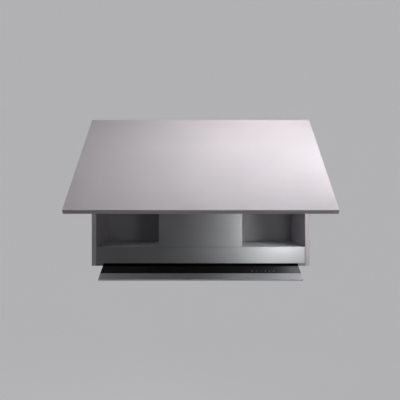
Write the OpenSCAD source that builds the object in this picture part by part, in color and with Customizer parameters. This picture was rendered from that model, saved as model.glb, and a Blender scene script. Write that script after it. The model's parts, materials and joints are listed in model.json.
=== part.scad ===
// Built-in range hood in its housing unit, with a lift-up flap and a pull-out visor.
// Millimetres. +X to the right, +Y towards the wall, +Z up. The origin lies on the wall face,
// at the middle of the unit's bottom edge. Depths in [d0, d1] pairs are measured back from the
// front edge of the unit. The part is drawn with the flap part open and the visor pulled out.

/* [Housing unit] */
// Outer width of the housing unit
carcass_w = 900; // [840:10:1000]
// Outer height of the housing unit
carcass_h = 602; // [580:2:700]
// Outer depth of the housing unit without the flap
carcass_d = 340; // [336:2:400]
// Thickness of the side and top boards
board_t = 18; // [16:1:20]
// Thickness of the back panel
back_t = 8; // [5:1:10]
// Space between the back panel and the wall
back_recess = 10; // [8:1:20]
// Height of the rail that lies against the wall
rail_h = 70; // [40:5:120]
// Radius of the duct cut-out in the top panel
duct_hole_r = 80; // [77:1:90]
// Radius of the hole in the top panel for the mains cord
cord_hole_r = 18; // [12:1:25]
// Radius of the holes for the bolts that join neighbouring units
connector_r = 2.5; // [2:0.5:4]
// Distance between the two joining holes of a side
connector_pitch = 420; // [300:10:480]

/* [Flap] */
// Thickness of the flap
flap_t = 16; // [16:0.5:18]
// Gap between the flap and the unit's outer side on each side
flap_side_gap = 4; // [2:0.5:6]
// Gap between the closed flap and the front edges of the unit
flap_air = 2; // [1.8:0.1:3]
// How far the closed flap's lower edge lies above the unit's lower edge
flap_lift = 4.7; // [4.5:0.1:20]
// How far the closed flap's upper edge lies below the unit's upper edge
top_reveal = 3.3; // [2:0.1:5]
// Opening angle of the flap at rest
flap_rest = 52.5; // [30:0.5:70]
// Depth of the hinge axis inside the flap
hinge_depth = 10; // [9:0.5:10.5]
// Distance of the hinge axis below the flap's upper edge
hinge_drop = 5.2; // [4.8:0.1:5.4]
// Distance of the outer hinges from the middle
hinge_x = 330; // [200:5:380]
// Radius of the hinge pins
hinge_pin_r = 1.6; // [1.4:0.1:2]
// Width of the hinge arms
arm_w = 11; // [8:0.5:16]

/* [Gas struts] */
// Distance from the hinge axis to each end of a strut
strut_r = 185; // [170:1:200]
// Angle between the strut's two radii when the flap is closed
strut_angle = 72; // [66:1:80]
// Distance of the struts from the unit's inner sides
strut_inset = 13; // [12:0.5:20]
// Outer radius of the strut cylinder
strut_tube_r = 7.5; // [7:0.5:9]
// Radius of the strut rod
strut_rod_r = 4; // [3:0.5:4.5]
// Radius of the studs that carry the strut ends
stud_r = 4; // [3:0.5:5]

/* [Hood body] */
// Height of the low wide body
body_h = 78; // [74:1:100]
// Gap between the body and the unit on each side
hood_gap = 1; // [0.5:0.5:3]
// Gap between the body and the back panel
hood_rear_gap = 4; // [2:1:10]
// Thickness of the body's sheet steel
sheet_t = 1.2; // [0.8:0.1:1.5]
// Height of the visor slot under the fascia
slot_h = 10.5; // [8:0.5:14]
// Depth at which the two top covers meet
seam_d = 165; // [140:5:170]
// Width of each side cheek
cheek_w = 26.5; // [22:0.5:40]
// How far the cheeks stand back from the fascia
cheek_recess = 2; // [2:0.5:5]

/* [Tower] */
// Width of the tower
tower_w = 344; // [320:2:400]
// Height of the tower above the body
tower_h = 322; // [310:2:380]
// Gap between the tower's back and the body's back
tower_back_gap = 18; // [12:1:28]
// Seam between the tower front and the fascia
tower_seam = 0.4; // [0.2:0.1:1]

/* [Blower] */
// Smallest radius of the scroll
scroll_r = 104; // [100:1:106]
// Growth of the scroll's radius in each quarter turn
scroll_step = 10; // [6:1:11]
// Inner width of the scroll
scroll_w = 150; // [140:2:170]
// Wall thickness of the scroll
scroll_t = 2; // [1.5:0.5:3]
// Depth of the impeller axis behind the front
scroll_d = 122; // [120:1:130]
// Height of the impeller axis above the body
scroll_lift = 136; // [130:1:145]
// Width of the outlet neck
neck_w = 118; // [110:1:124]
// Outer radius of the impeller
impeller_r = 88; // [80:1:94]
// Width of the impeller
impeller_w = 136; // [120:2:138]
// Number of impeller blades
blade_count = 36; // [24:1:48]
// Radius of the round inlets
inlet_r = 72; // [66:1:76]
// Radius of the motor
motor_r = 46; // [40:1:50]
// Radius of the motor shaft
shaft_r = 4; // [3:0.5:5]

/* [Outlet] */
// Outer radius of the duct collar
spigot_r = 74.5; // [70:0.5:76]
// Height of the duct collar
spigot_h = 48; // [40:1:60]
// Wall thickness of the duct collar
spigot_t = 2; // [1.5:0.5:3]

/* [Visor] */
// Angle at which the visor slopes down to the front
visor_tilt = 21; // [19:0.5:22]
// Height of the visor's glass where it passes the unit's front
visor_z = 3; // [1:0.5:4]
// Gap between the visor's end and a cheek
visor_side_gap = 1.5; // [1:0.5:4]
// Length of glass that shows in front of the unit
glass_out = 68.5; // [60:0.5:76]
// Length of the visor that stays behind the unit's front when it is pulled out
visor_in = 78; // [70:1:84]
// Travel of the visor
visor_travel = 110; // [96:1:110]
// Thickness of the glass
glass_t = 4; // [3:0.5:5]
// Length of the metal front strip
strip_l = 45; // [38:1:50]
// Thickness of the metal front strip
strip_t = 12; // [10:0.5:13]

/* [Intake] */
// Depth at which the filters start
filter_d0 = 86; // [84:1:96]
// Space behind the filters, for the lamp
lamp_space = 28; // [28:1:42]
// Thickness of a filter
filter_t = 9; // [8:0.5:10]
// Width of a filter's rim
rim_w = 12; // [10:1:18]
// Number of baffles in each layer of a filter
baffle_count = 14; // [8:1:14]

/* [Hidden] */
$fn = 48;

// Running clearance of a pin in its hole
run = 0.05;
// Clearance of a seat, and of a fastener in its hole
seat = 0.1;
// Clearance between sliding members
slide = 0.4;
// Overlap that keeps a cut clean
cut = 1;
// Spacing between a moving piece and its frame
gap = 1;

// Housing unit
inner_w = carcass_w - 2 * board_t;
inner_h = carcass_h - board_t;
back_d = carcass_d - back_recess - back_t;
groove = 8;
connector_d = 37;
connector_z = (carcass_h - connector_pitch) / 2;
hanger_w = 18;
hanger_l = 44;
hanger_h = 64;
hanger_drop = 8;
hanger_t = 2;
hook_in = 5;
hook_t = 3;
hook_h = 20;
hook_drop = 10;
hook_lip = 12;
hook_air = 2;
adjuster_in = 12;
adjuster_up = 14;
adjuster_r = 3;
screw_r = 2.5;
screw_l = 50;
screw_head_r = 5;
screw_head_t = 3;
screw_inset = 60;
screw_d = [screw_inset, carcass_d - screw_inset];

// Flap and its hinge
flap_w = carcass_w - 2 * flap_side_gap;
flap_top = carcass_h - top_reveal;
hinge_y = -carcass_d - flap_air - hinge_depth;
hinge_z = flap_top - hinge_drop;
arm_eye_r = hinge_pin_r + 1.6;
arm_t = 4.4;
arm_angle = 50;
arm_l = 30;
plate_t = 3;
plate_l = 50;
plate_w = 26;
box_wall = 1.5;
box_drop = 17;
box_in = arm_w / 2 + slide;
box_out = box_in + box_wall;
box_deep = hinge_depth + arm_eye_r + slide;
wing_t = 1.2;
wing_w = 20;
wing_h = 13;

// Struts: both ends lie on a circle about the hinge axis, so the strut's line turns by half of
// the flap's angle and its two halves stay in line
stud_off = 12;
stud_pin_l = 12;
strut_x = inner_w / 2 - strut_inset;
flap_stud_y = -carcass_d - flap_air + stud_off;
flap_stud_lever = flap_stud_y - hinge_y;
flap_stud_angle = asin(flap_stud_lever / strut_r);
// Angles are measured from straight down, towards the wall
body_stud_angle = flap_stud_angle + strut_angle;
open_stud_angle = flap_stud_angle - flap_rest;
body_stud = [hinge_y + strut_r * sin(body_stud_angle), hinge_z - strut_r * cos(body_stud_angle)];
open_stud = [hinge_y + strut_r * sin(open_stud_angle), hinge_z - strut_r * cos(open_stud_angle)];
strut_line = atan2(open_stud[1] - body_stud[1], open_stud[0] - body_stud[0]);
strut_closed = 2 * strut_r * sin(strut_angle / 2);
strut_open = 2 * strut_r * sin((strut_angle + flap_rest) / 2);
eye_w = 12;
eye_r = 8;
tube_wall = 1.2;
gland_l = 8;
piston_l = 7;
tube_l = strut_closed - 35;
rod_l = strut_closed - 26;
bracket_w = 30;
bracket_h = 42;
bracket_t = 2;
head_r = stud_r + 2;
head_t = 1.4;
stud_plate_w = 28;
stud_plate_h = 56;
stud_plate_t = 2;
stud_ear_t = 3;
stud_ear_h = 18;

// Hood body
hood_w = inner_w - 2 * hood_gap;
body_d = back_d - hood_rear_gap;
cheek_x = hood_w / 2 - cheek_w;
body_top = body_h - sheet_t;
body_screw_r = 2;
body_screw_z = body_h - 16;
body_screw_d = [40, body_d / 2, body_d - 40];

// Intake
pivot_inset = 4.5;
pivot_r = 1.5;
filter_z = 0.6;
filter_d1 = body_d - lamp_space;
filter_pivot_d = filter_d1 - pivot_inset;
filter_pivot_z = filter_z + filter_t / 2;
side_bar_t = 1.2;
centre_ear_t = 2.4;
filter_x0 = centre_ear_t / 2 + 0.4;
filter_x1 = cheek_x - side_bar_t - gap;
front_bar_l = 26;
front_bar_h = 5;
front_bar_low = 3.4;
rear_bar_d = filter_d1 + 2.6;
light_w = 520;
light_l = 18;
light_h = 13;
light_d = (rear_bar_d + body_d - sheet_t) / 2;
lens_t = 1.2;

// Tower and blower
tower_top = body_h + tower_h;
tower_d = body_d - tower_back_gap;
scroll_y = -carcass_d + scroll_d;
scroll_z = body_h + scroll_lift;
scroll_x = scroll_w / 2;
scroll_back = scroll_step / 2 + scroll_r + 2 * scroll_step;
outlet_d = scroll_d + scroll_back - neck_w / 2;
outlet_y = -carcass_d + outlet_d;
air_w = 300;
air_l = 84;
mount_l = 6;
mount_r = 6;
mount_ring = inlet_r + 9;
bracket_sheet = 2;
flange_r = spigot_r + 15;
flange_t = 2;
spigot_bore = spigot_r - spigot_t;
damper_z = tower_top + flange_t + 14;
damper_pin_r = 1.5;
damper_off = 4;
leaf_t = 1.2;
leaf_r = spigot_bore - 1;
knuckle_r = 2.8;
knuckle_l = 100;
stop_w = 3;

// Electrics
box_w = 150;
box_l = 80;
box_h = 44;
box_t = 2;
box_x = -162;
box_d = 14;
post_in = 12;
post_room = 40;
post_r = 3;
post_h = 7;
board_in = 7;
board_room = 35;
board_t3 = 1.6;
transformer = [26, 24, 16.4];
transformer_at = [40, 20];
relay = [16, 12, 12.4];
relay_at = [76, 18];
block = [18, 40, 16];
block_in = 10;
block_d = 20;
wire_r = 2;
wire_pitch = 14;
gland_r = 9;
gland_h = 12;
neck_r = gland_r - 3;
gland_neck = 9;
cable_r = 4;
gland_x = box_x + box_w - 48;
gland_y = -carcass_d + box_d + box_l / 2;
capacitor_r = 16;
capacitor_h = 62;
capacitor_d = 60;
capacitor_x = tower_w / 2 - sheet_t - capacitor_r - 0.3;

// Visor, drawn in its own sloping frame: Y back up the slope, Z square to the glass
visor_w = 2 * (cheek_x - visor_side_gap);
joint_gap = 0.3;
strip_y = -glass_out - joint_gap;
strip_drop = 3;
lip_l = 5;
tray_in = 6;
tray_w = visor_w - 2 * tray_in;
tray_deep = 17;
runner_l = 142;
runner_y = visor_travel - glass_out + 0.5;
runner_top = 5;
runner_h = 15;
lip_t = 1.2;
web_t = 1.5;
outer_depth = 5.5;
runner_room = outer_depth + gap;
middle_depth = 4.6;
middle_top = runner_top + lip_t + slide;
middle_h = runner_h - 2 * (lip_t + slide);
inner_top = middle_top + lip_t + slide;
inner_h2 = middle_h - 2 * (lip_t + slide);
middle_x = cheek_x - web_t - slide;
inner_x = middle_x - lip_t - slide;
deck_drop = runner_top + runner_h + 2;
deck_y0 = (front_bar_h - visor_z + (deck_drop + sheet_t) * cos(visor_tilt)) / sin(visor_tilt);
deck_y1 = visor_in + visor_travel + 8;
mark_inset = 194;
mark_x = visor_w / 2 - mark_inset;
board_lead = 14;
mark_pitch = 17.5;
mark_y = -50;
mark_t = 0.15;
board_w2 = 112;
board_l2 = 22;
board_t2 = 1.6;

// Placing
module slab(x, d, z) {
    translate([x[0], d[0] - carcass_d, z[0]])
        cube([x[1] - x[0], d[1] - d[0], z[1] - z[0]]);
}

// A cylinder along +X that starts at the given x, depth and height
module bar_x(x, d, z, r, l) {
    translate([x, d - carcass_d, z]) rotate([0, 90, 0]) cylinder(r = r, h = l);
}

// An outline in Y and Z, carried along X
module along_x(x0, w) {
    translate([x0, 0, 0]) rotate([90, 0, 90]) linear_extrude(w) children();
}

module both_sides() {
    children();
    mirror([1, 0, 0]) children();
}

module open_flap() {
    translate([0, hinge_y, hinge_z]) rotate([-flap_rest, 0, 0])
        translate([0, -hinge_y, -hinge_z]) children();
}

module on_slope() {
    translate([0, -carcass_d, visor_z]) rotate([visor_tilt, 0, 0]) children();
}

module at_hinges() {
    for (x = [-hinge_x, 0, hinge_x]) translate([x, 0, 0]) children();
}

// Housing unit
module side_panel() {
    difference() {
        slab([inner_w / 2, carcass_w / 2], [0, carcass_d], [0, carcass_h]);
        slab([inner_w / 2 - cut, inner_w / 2 + groove], [back_d - seat, back_d + back_t + seat],
            [-cut, inner_h]);
        for (z = [connector_z, connector_z + connector_pitch])
            bar_x(inner_w / 2 - cut, connector_d, z, connector_r, board_t + 2 * cut);
        for (d = screw_d) {
            bar_x(inner_w / 2 - cut, d, carcass_h - board_t / 2, screw_r + seat, board_t + 2 * cut);
            bar_x(carcass_w / 2 - screw_head_t - seat, d, carcass_h - board_t / 2,
                screw_head_r + seat, screw_head_t + cut);
        }
        for (d = body_screw_d)
            bar_x(inner_w / 2 - cut, d, body_screw_z, body_screw_r + seat, 12 + cut);
    }
}

module side_panel_left() {
    color("#d9d4d9") mirror([1, 0, 0]) side_panel();
}

module side_panel_right() {
    color("#d9d4d9") side_panel();
}

module top_panel() {
    color("#d9d4d9") difference() {
        slab([-inner_w / 2, inner_w / 2], [0, carcass_d], [inner_h, carcass_h]);
        translate([0, outlet_y, inner_h - cut]) cylinder(r = duct_hole_r, h = board_t + 2 * cut);
        translate([gland_x, gland_y, inner_h - cut])
            cylinder(r = cord_hole_r, h = board_t + 2 * cut);
        both_sides() for (d = screw_d)
            bar_x(inner_w / 2 - screw_l, d, carcass_h - board_t / 2, screw_r + seat, screw_l + cut);
        slab([-inner_w / 2 - cut, inner_w / 2 + cut], [back_d - seat, back_d + back_t + seat],
            [inner_h - cut, inner_h + groove]);
    }
}

module back_panel() {
    color("#6f6e70") difference() {
        slab([-inner_w / 2 - groove + seat, inner_w / 2 + groove - seat],
            [back_d, back_d + back_t], [0, inner_h - seat]);
        both_sides() slab([inner_w / 2 - hanger_w - gap, inner_w / 2 + groove + cut],
            [back_d - cut, back_d + back_t + cut],
            [inner_h - hanger_drop - hanger_h - gap, inner_h + cut]);
    }
    color("#6f6e70") slab([-inner_w / 2 + hanger_w + 2 * gap, inner_w / 2 - hanger_w - 2 * gap],
        [back_d, back_d + back_t], [inner_h - seat, inner_h + groove - seat]);
}

module wall_rail() {
    color("#c9b48c") slab([-inner_w / 2, inner_w / 2], [back_d + back_t, carcass_d], [0, rail_h]);
}

module wall_hangers() {
    z1 = inner_h - hanger_drop;
    z0 = z1 - hanger_h;
    x1 = inner_w / 2;
    x0 = x1 - hanger_w;
    color("#b8babd") both_sides() {
        difference() {
            slab([x0, x1], [back_d - hanger_l, back_d + back_t], [z0, z1]);
            slab([x0 + hanger_t, x1 - hanger_t],
                [back_d - hanger_l + hanger_t, back_d + back_t + cut],
                [z0 + hanger_t, z1 - hanger_t]);
            bar_x(x0 - cut, back_d - hanger_l + adjuster_in, z0 + adjuster_up, adjuster_r,
                hanger_t + 2 * cut);
        }
        slab([x1 - hook_in - hook_t, x1 - hook_in],
            [back_d - hanger_l + hanger_t, carcass_d - hook_air],
            [z1 - hook_drop - hook_h, z1 - hook_drop]);
        slab([x1 - hook_in - hook_t, x1 - hook_in],
            [carcass_d - hook_air - hook_t, carcass_d - hook_air],
            [z1 - hook_drop, z1 - hook_drop + hook_lip]);
    }
}

module panel_screws() {
    z = carcass_h - board_t / 2;
    color("#9a9c9f") both_sides() for (d = screw_d) {
        bar_x(carcass_w / 2 - screw_l, d, z, screw_r, screw_l - screw_head_t);
        bar_x(carcass_w / 2 - screw_head_t, d, z, screw_head_r, screw_head_t);
    }
}

// The arm runs back and down out of its box, then up to its plate under the top panel
module arm_outline() {
    rise = inner_h - hinge_z;
    end_y = arm_l * cos(arm_angle);
    end_z = -arm_l * sin(arm_angle);
    difference() {
        union() {
            circle(r = arm_eye_r);
            rotate(-arm_angle) translate([0, -arm_t / 2]) square([arm_l, arm_t]);
            translate([end_y - arm_t, end_z - arm_t / 2])
                square([arm_t + 2, rise - end_z + arm_t / 2 - plate_t / 2]);
        }
        circle(r = hinge_pin_r + run);
    }
}

module hinge_arms() {
    plate_y = hinge_y + arm_l * cos(arm_angle) - arm_t;
    color("#a9abae") at_hinges() {
        along_x(-arm_w / 2, arm_w) translate([hinge_y, hinge_z]) arm_outline();
        translate([-plate_w / 2, plate_y, inner_h - plate_t]) cube([plate_w, plate_l, plate_t]);
    }
}

module strut_brackets() {
    color("#a9abae") both_sides() translate([0, body_stud[0], body_stud[1]]) {
        translate([inner_w / 2 - bracket_t, -bracket_w / 2, -bracket_h / 2])
            cube([bracket_t, bracket_w, bracket_h]);
        translate([strut_x - eye_w / 2 - seat, 0, 0]) rotate([0, 90, 0])
            cylinder(r = stud_r, h = strut_inset + eye_w / 2 + seat - bracket_t / 2);
        translate([strut_x - eye_w / 2 - slide - head_t, 0, 0]) rotate([0, 90, 0])
            cylinder(r = head_r, h = head_t);
        translate([strut_x - eye_w / 2 - slide - head_t / 2, 0, 0]) rotate([0, 90, 0])
            cylinder(r = stud_r, h = eye_w / 2);
    }
}

// Flap
module flap_panel() {
    pocket = box_out + seat;
    color("#e3dee3") open_flap() difference() {
        slab([-flap_w / 2, flap_w / 2], [-flap_air - flap_t, -flap_air], [flap_lift, flap_top]);
        at_hinges() slab([-pocket, pocket], [-flap_air - box_deep - seat, -flap_air + cut],
            [hinge_z - box_drop - wing_t - seat, flap_top + cut]);
    }
}

// Each box lines a pocket that is open at the flap's upper edge, so the arm can swing out of it
module hinge_boxes() {
    back = -flap_air;
    low = hinge_z - box_drop;
    color("#a9abae") open_flap() at_hinges() difference() {
        union() {
            both_sides() {
                slab([box_in, box_out], [back - box_deep, back], [low - wing_t, flap_top - 0.5]);
                slab([box_in, box_out + wing_w], [back, back + wing_t], [low - wing_t, low + wing_h]);
            }
            slab([-box_out, box_out], [back - box_deep, back + wing_t], [low - wing_t, low]);
        }
        translate([-box_out - cut, hinge_y, hinge_z]) rotate([0, 90, 0])
            cylinder(r = hinge_pin_r + 0.02, h = 2 * box_out + 2 * cut);
    }
}

module hinge_pins() {
    color("#8d8f92") open_flap() at_hinges()
        translate([-box_out, hinge_y, hinge_z]) rotate([0, 90, 0])
            cylinder(r = hinge_pin_r, h = 2 * box_out);
}

module flap_studs() {
    stud_z = hinge_z - strut_r * cos(flap_stud_angle);
    ear_x = strut_x + eye_w / 2 + slide;
    face_y = -carcass_d - flap_air;
    color("#a9abae") open_flap() both_sides() {
        translate([ear_x + stud_ear_t - stud_plate_w, face_y, stud_z - stud_plate_h / 2])
            cube([stud_plate_w, stud_plate_t, stud_plate_h]);
        translate([ear_x, face_y + stud_plate_t / 2, stud_z - stud_ear_h / 2])
            cube([stud_ear_t, stud_off + head_r, stud_ear_h]);
        translate([0, flap_stud_y, stud_z]) rotate([0, 90, 0]) {
            translate([0, 0, strut_x - eye_w / 2 - slide]) cylinder(r = stud_r, h = eye_w + stud_ear_t);
            translate([0, 0, strut_x - eye_w / 2 - slide - head_t])
                cylinder(r = head_r, h = head_t);
        }
    }
}

module flap_bumpers() {
    color("#e9e9ea") open_flap() both_sides() for (z = [flap_lift + 26, flap_top - 60])
        translate([carcass_w / 2 - board_t / 2, -carcass_d - flap_air, z])
            rotate([-90, 0, 0]) cylinder(r = 4.5, h = flap_air - slide);
}

// Gas struts, drawn along +Y from the stud on the side panel
module strut_frame(side) {
    translate([side * strut_x, body_stud[0], body_stud[1]]) rotate([strut_line, 0, 0]) children();
}

module rod_y(y, r, l) {
    translate([0, y, 0]) rotate([-90, 0, 0]) cylinder(r = r, h = l);
}

module eye(y) {
    translate([-eye_w / 2, y, 0]) rotate([0, 90, 0]) cylinder(r = eye_r, h = eye_w);
}

module eye_hole(y) {
    translate([-eye_w / 2 - cut, y, 0]) rotate([0, 90, 0])
        cylinder(r = stud_r + run, h = eye_w + 2 * cut);
}

module strut_cylinder(side) {
    color("#2b2c2e") strut_frame(side) difference() {
        union() {
            eye(0);
            rod_y(eye_r - 2, strut_tube_r, tube_l - eye_r + 2);
        }
        eye_hole(0);
        rod_y(eye_r + 4, strut_tube_r - tube_wall, tube_l - eye_r - 4 - gland_l);
        rod_y(tube_l / 2, strut_rod_r + slide, tube_l);
    }
}

module strut_rod(side) {
    color("#c6c8cb") strut_frame(side) difference() {
        union() {
            eye(strut_open);
            rod_y(strut_open - rod_l, strut_rod_r, rod_l - eye_r + 2);
            rod_y(strut_open - rod_l, strut_tube_r - tube_wall - slide, piston_l);
        }
        eye_hole(strut_open);
    }
}

module strut_cylinder_left() {
    strut_cylinder(-1);
}

module strut_cylinder_right() {
    strut_cylinder(1);
}

module strut_rod_left() {
    strut_rod(-1);
}

module strut_rod_right() {
    strut_rod(1);
}

// Hood body
module canopy_casing() {
    x = hood_w / 2;
    color("#a7a9ab") difference() {
        union() {
            both_sides() slab([x - sheet_t, x], [sheet_t, body_d], [0, body_top]);
            slab([-x, x], [body_d - sheet_t, body_d], [0, body_top]);
        }
        both_sides() for (d = body_screw_d)
            bar_x(x - sheet_t - cut, d, body_screw_z, body_screw_r + seat, sheet_t + 2 * cut);
    }
}

module fascia() {
    x = hood_w / 2;
    color("#b4b6b8") {
        slab([-x, x], [0, sheet_t], [slot_h, body_h]);
        slab([-cheek_x + gap, cheek_x - gap], [sheet_t, 9], [slot_h, slot_h + sheet_t]);
    }
}

module front_top_cover() {
    x = hood_w / 2;
    color("#b4b6b8") slab([-x, x], [sheet_t, seam_d - tower_seam], [body_top, body_h]);
}

module rear_top_cover() {
    x = hood_w / 2;
    air_d = outlet_d + 40;
    color("#bfc1c3") difference() {
        slab([-x, x], [seam_d, body_d], [body_top, body_h]);
        slab([-air_w / 2, air_w / 2], [air_d - air_l / 2, air_d + air_l / 2],
            [body_top - cut, body_h + cut]);
    }
}

module cheek() {
    x1 = hood_w / 2 - sheet_t;
    color("#8e9092") difference() {
        union() {
            slab([cheek_x, cheek_x + sheet_t], [cheek_recess, body_d - sheet_t], [0, body_top]);
            slab([cheek_x, x1], [cheek_recess, body_d - sheet_t], [0, sheet_t]);
            slab([cheek_x, x1], [cheek_recess, cheek_recess + sheet_t], [0, slot_h]);
        }
        bar_x(cheek_x - cut, filter_pivot_d, filter_pivot_z, pivot_r + run, sheet_t + 2 * cut);
    }
}

module cheek_left() {
    mirror([1, 0, 0]) cheek();
}

module cheek_right() {
    cheek();
}

// The partition that closes the visor's pocket off from the suction chamber
module visor_deck() {
    end_y = -carcass_d + deck_y1 * cos(visor_tilt) + deck_drop * sin(visor_tilt);
    end_z = visor_z + deck_y1 * sin(visor_tilt) - deck_drop * cos(visor_tilt);
    color("#9b9da0") along_x(-cheek_x, 2 * cheek_x) {
        translate([-carcass_d, visor_z]) rotate(visor_tilt)
            translate([deck_y0, -deck_drop - sheet_t]) square([deck_y1 - deck_y0, sheet_t]);
        translate([end_y - sheet_t, end_z - sheet_t]) square([sheet_t, body_top - end_z + sheet_t]);
    }
}

module intake_frame() {
    x = cheek_x;
    front_d = filter_d0 - gap - front_bar_l;
    rear_end = body_d - sheet_t;
    color("#a2a4a6") difference() {
        union() {
            slab([-x, x], [front_d, front_d + front_bar_l], [0, front_bar_low]);
            slab([-x + runner_room, x - runner_room], [front_d, front_d + front_bar_l],
                [0, front_bar_h]);
            slab([-x, x], [rear_bar_d, rear_end], [0, sheet_t]);
            slab([-x, x], [rear_bar_d, rear_bar_d + sheet_t], [0, filter_t]);
            both_sides() {
                slab([x - side_bar_t, x], [front_d, rear_end], [0, front_bar_low]);
                slab([x - side_bar_t, x], [front_d + 60, rear_end], [0, filter_t]);
            }
            slab([-centre_ear_t / 2, centre_ear_t / 2], [filter_pivot_d - 6, rear_bar_d + sheet_t],
                [0, filter_t]);
        }
        both_sides() bar_x(x - side_bar_t - cut, filter_pivot_d, filter_pivot_z, pivot_r + run,
            side_bar_t + 2 * cut);
        bar_x(-centre_ear_t / 2 - cut, filter_pivot_d, filter_pivot_z, pivot_r + run,
            centre_ear_t + 2 * cut);
        slab([-light_w / 2 + 2, light_w / 2 - 2],
            [light_d - light_l / 2 + 2, light_d + light_l / 2 - 2], [-cut, sheet_t + cut]);
    }
}

module light_housing() {
    color("#77797b") difference() {
        slab([-light_w / 2, light_w / 2], [light_d - light_l / 2, light_d + light_l / 2],
            [sheet_t, sheet_t + light_h]);
        slab([-light_w / 2 + 2, light_w / 2 - 2],
            [light_d - light_l / 2 + 2, light_d + light_l / 2 - 2],
            [sheet_t - cut, sheet_t + light_h - 2]);
    }
}

module light_lens() {
    in = 2 + seat;
    color("#f6f2e6") slab([-light_w / 2 + in, light_w / 2 - in],
        [light_d - light_l / 2 + in, light_d + light_l / 2 - in], [0, sheet_t + lens_t]);
}

module hood_screws() {
    x = hood_w / 2 - sheet_t;
    color("#9a9c9f") both_sides() for (d = body_screw_d) {
        bar_x(x - 2, d, body_screw_z, body_screw_r + 2, 2);
        bar_x(x - 1, d, body_screw_z, body_screw_r, sheet_t + hood_gap + 12);
    }
}

// Grease filters
module filter_frame() {
    x0 = filter_x0;
    x1 = filter_x1;
    z1 = filter_z + filter_t;
    mid = (x0 + x1) / 2;
    color("#c3c5c7") {
        difference() {
            slab([x0, x1], [filter_d0, filter_d1], [filter_z, z1]);
            slab([x0 + rim_w, x1 - rim_w], [filter_d0 + rim_w, filter_d1 - rim_w],
                [filter_z - cut, z1 + cut]);
            slab([mid - 28, mid + 28], [filter_d0 + 4, filter_d0 + rim_w - 2],
                [filter_z - cut, z1 - 2]);
        }
        bar_x(x1 - 2, filter_pivot_d, filter_pivot_z, pivot_r, 2 + gap + side_bar_t + sheet_t);
        bar_x(x0 - 1.2, filter_pivot_d, filter_pivot_z, pivot_r, 3);
    }
}

// One layer of upturned or downturned channels that run from front to back
module baffle_layer(x_first, pitch, count, z, lip_z) {
    d0 = filter_d0 + rim_w;
    d1 = filter_d1 - rim_w;
    w = pitch * 0.62;
    for (i = [0 : count - 1]) {
        x = x_first + i * pitch;
        slab([x - w / 2, x + w / 2], [d0, d1], [z, z + 0.8]);
        for (s = [-1, 1])
            slab([x + s * w / 2 - 0.4, x + s * w / 2 + 0.4], [d0, d1], [lip_z, lip_z + 2.6]);
    }
}

module filter_baffles() {
    span = filter_x1 - filter_x0 - 2 * rim_w;
    pitch = span / baffle_count;
    first = filter_x0 + rim_w + pitch / 2;
    low = filter_z + 1;
    high = filter_z + filter_t - 1.8;
    color("#d2d4d6") {
        baffle_layer(first, pitch, baffle_count, low, low);
        baffle_layer(first + pitch / 2, pitch, baffle_count - 1, high, high - 1.8);
    }
}

module filter_frame_left() {
    mirror([1, 0, 0]) filter_frame();
}

module filter_frame_right() {
    filter_frame();
}

module filter_baffles_left() {
    mirror([1, 0, 0]) filter_baffles();
}

module filter_baffles_right() {
    filter_baffles();
}

// Tower
module tower_shell() {
    x = tower_w / 2;
    color("#a7a9ab") difference() {
        slab([-x, x], [sheet_t, tower_d], [body_h, tower_top]);
        slab([-x + sheet_t, x - sheet_t], [0, tower_d - sheet_t], [body_h - cut, tower_top - sheet_t]);
        translate([0, outlet_y, tower_top - sheet_t - cut])
            cylinder(r = spigot_bore, h = sheet_t + 2 * cut);
    }
}

module tower_front() {
    x = tower_w / 2;
    color("#b4b6b8") slab([-x, x], [0, sheet_t], [body_h + tower_seam, tower_top]);
}

// The scroll's outline: three quarter circles of growing radius and a straight neck, each drawn
// larger by g. Y is towards the wall and Z is up, from the impeller axis.
module quarter(cy, cz, r, a) {
    intersection() {
        translate([cy, cz]) circle(r = r, $fn = 96);
        translate([cy, cz]) rotate(a) square(r + 1);
    }
}

module scroll_outline(g) {
    s = scroll_step / 2;
    neck_top = tower_top - sheet_t - scroll_z;
    quarter(-s, -s, scroll_r + g, 90);
    quarter(s, -s, scroll_r + scroll_step + g, 180);
    quarter(s, s, scroll_r + 2 * scroll_step + g, 270);
    translate([-s, -s]) square([scroll_back + s + g, scroll_r + g]);
    translate([-s, -s]) square([2 * s + 0.01, 2 * s]);
    translate([scroll_back - neck_w - g, 0]) square([neck_w + 2 * g, neck_top]);
}

module scroll_half() {
    neck_top = tower_top - sheet_t - scroll_z;
    difference() {
        along_x(0, scroll_x + scroll_t) scroll_outline(scroll_t);
        along_x(-cut, scroll_x + cut) {
            scroll_outline(0);
            translate([scroll_back - neck_w, 0]) square([neck_w, neck_top + cut]);
        }
        translate([scroll_x - cut, 0, 0]) rotate([0, 90, 0])
            cylinder(r = inlet_r, h = scroll_t + 2 * cut, $fn = 96);
    }
}

module scroll_right() {
    color("#5b5d60") translate([0, scroll_y, scroll_z]) scroll_half();
}

module scroll_left() {
    color("#5b5d60") translate([0, scroll_y, scroll_z]) mirror([1, 0, 0]) scroll_half();
}

module motor() {
    boss = scroll_x + scroll_t + mount_l;
    color("#8b8d90") translate([0, scroll_y, scroll_z]) rotate([0, 90, 0]) difference() {
        union() {
            translate([0, 0, -impeller_w / 2]) cylinder(r = motor_r, h = impeller_w / 2 - 14);
            translate([0, 0, -boss]) cylinder(r = motor_r / 2, h = boss - impeller_w / 2 + 1);
        }
        translate([0, 0, -impeller_w / 2 + 8]) cylinder(r = shaft_r + run, h = impeller_w);
    }
}

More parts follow.
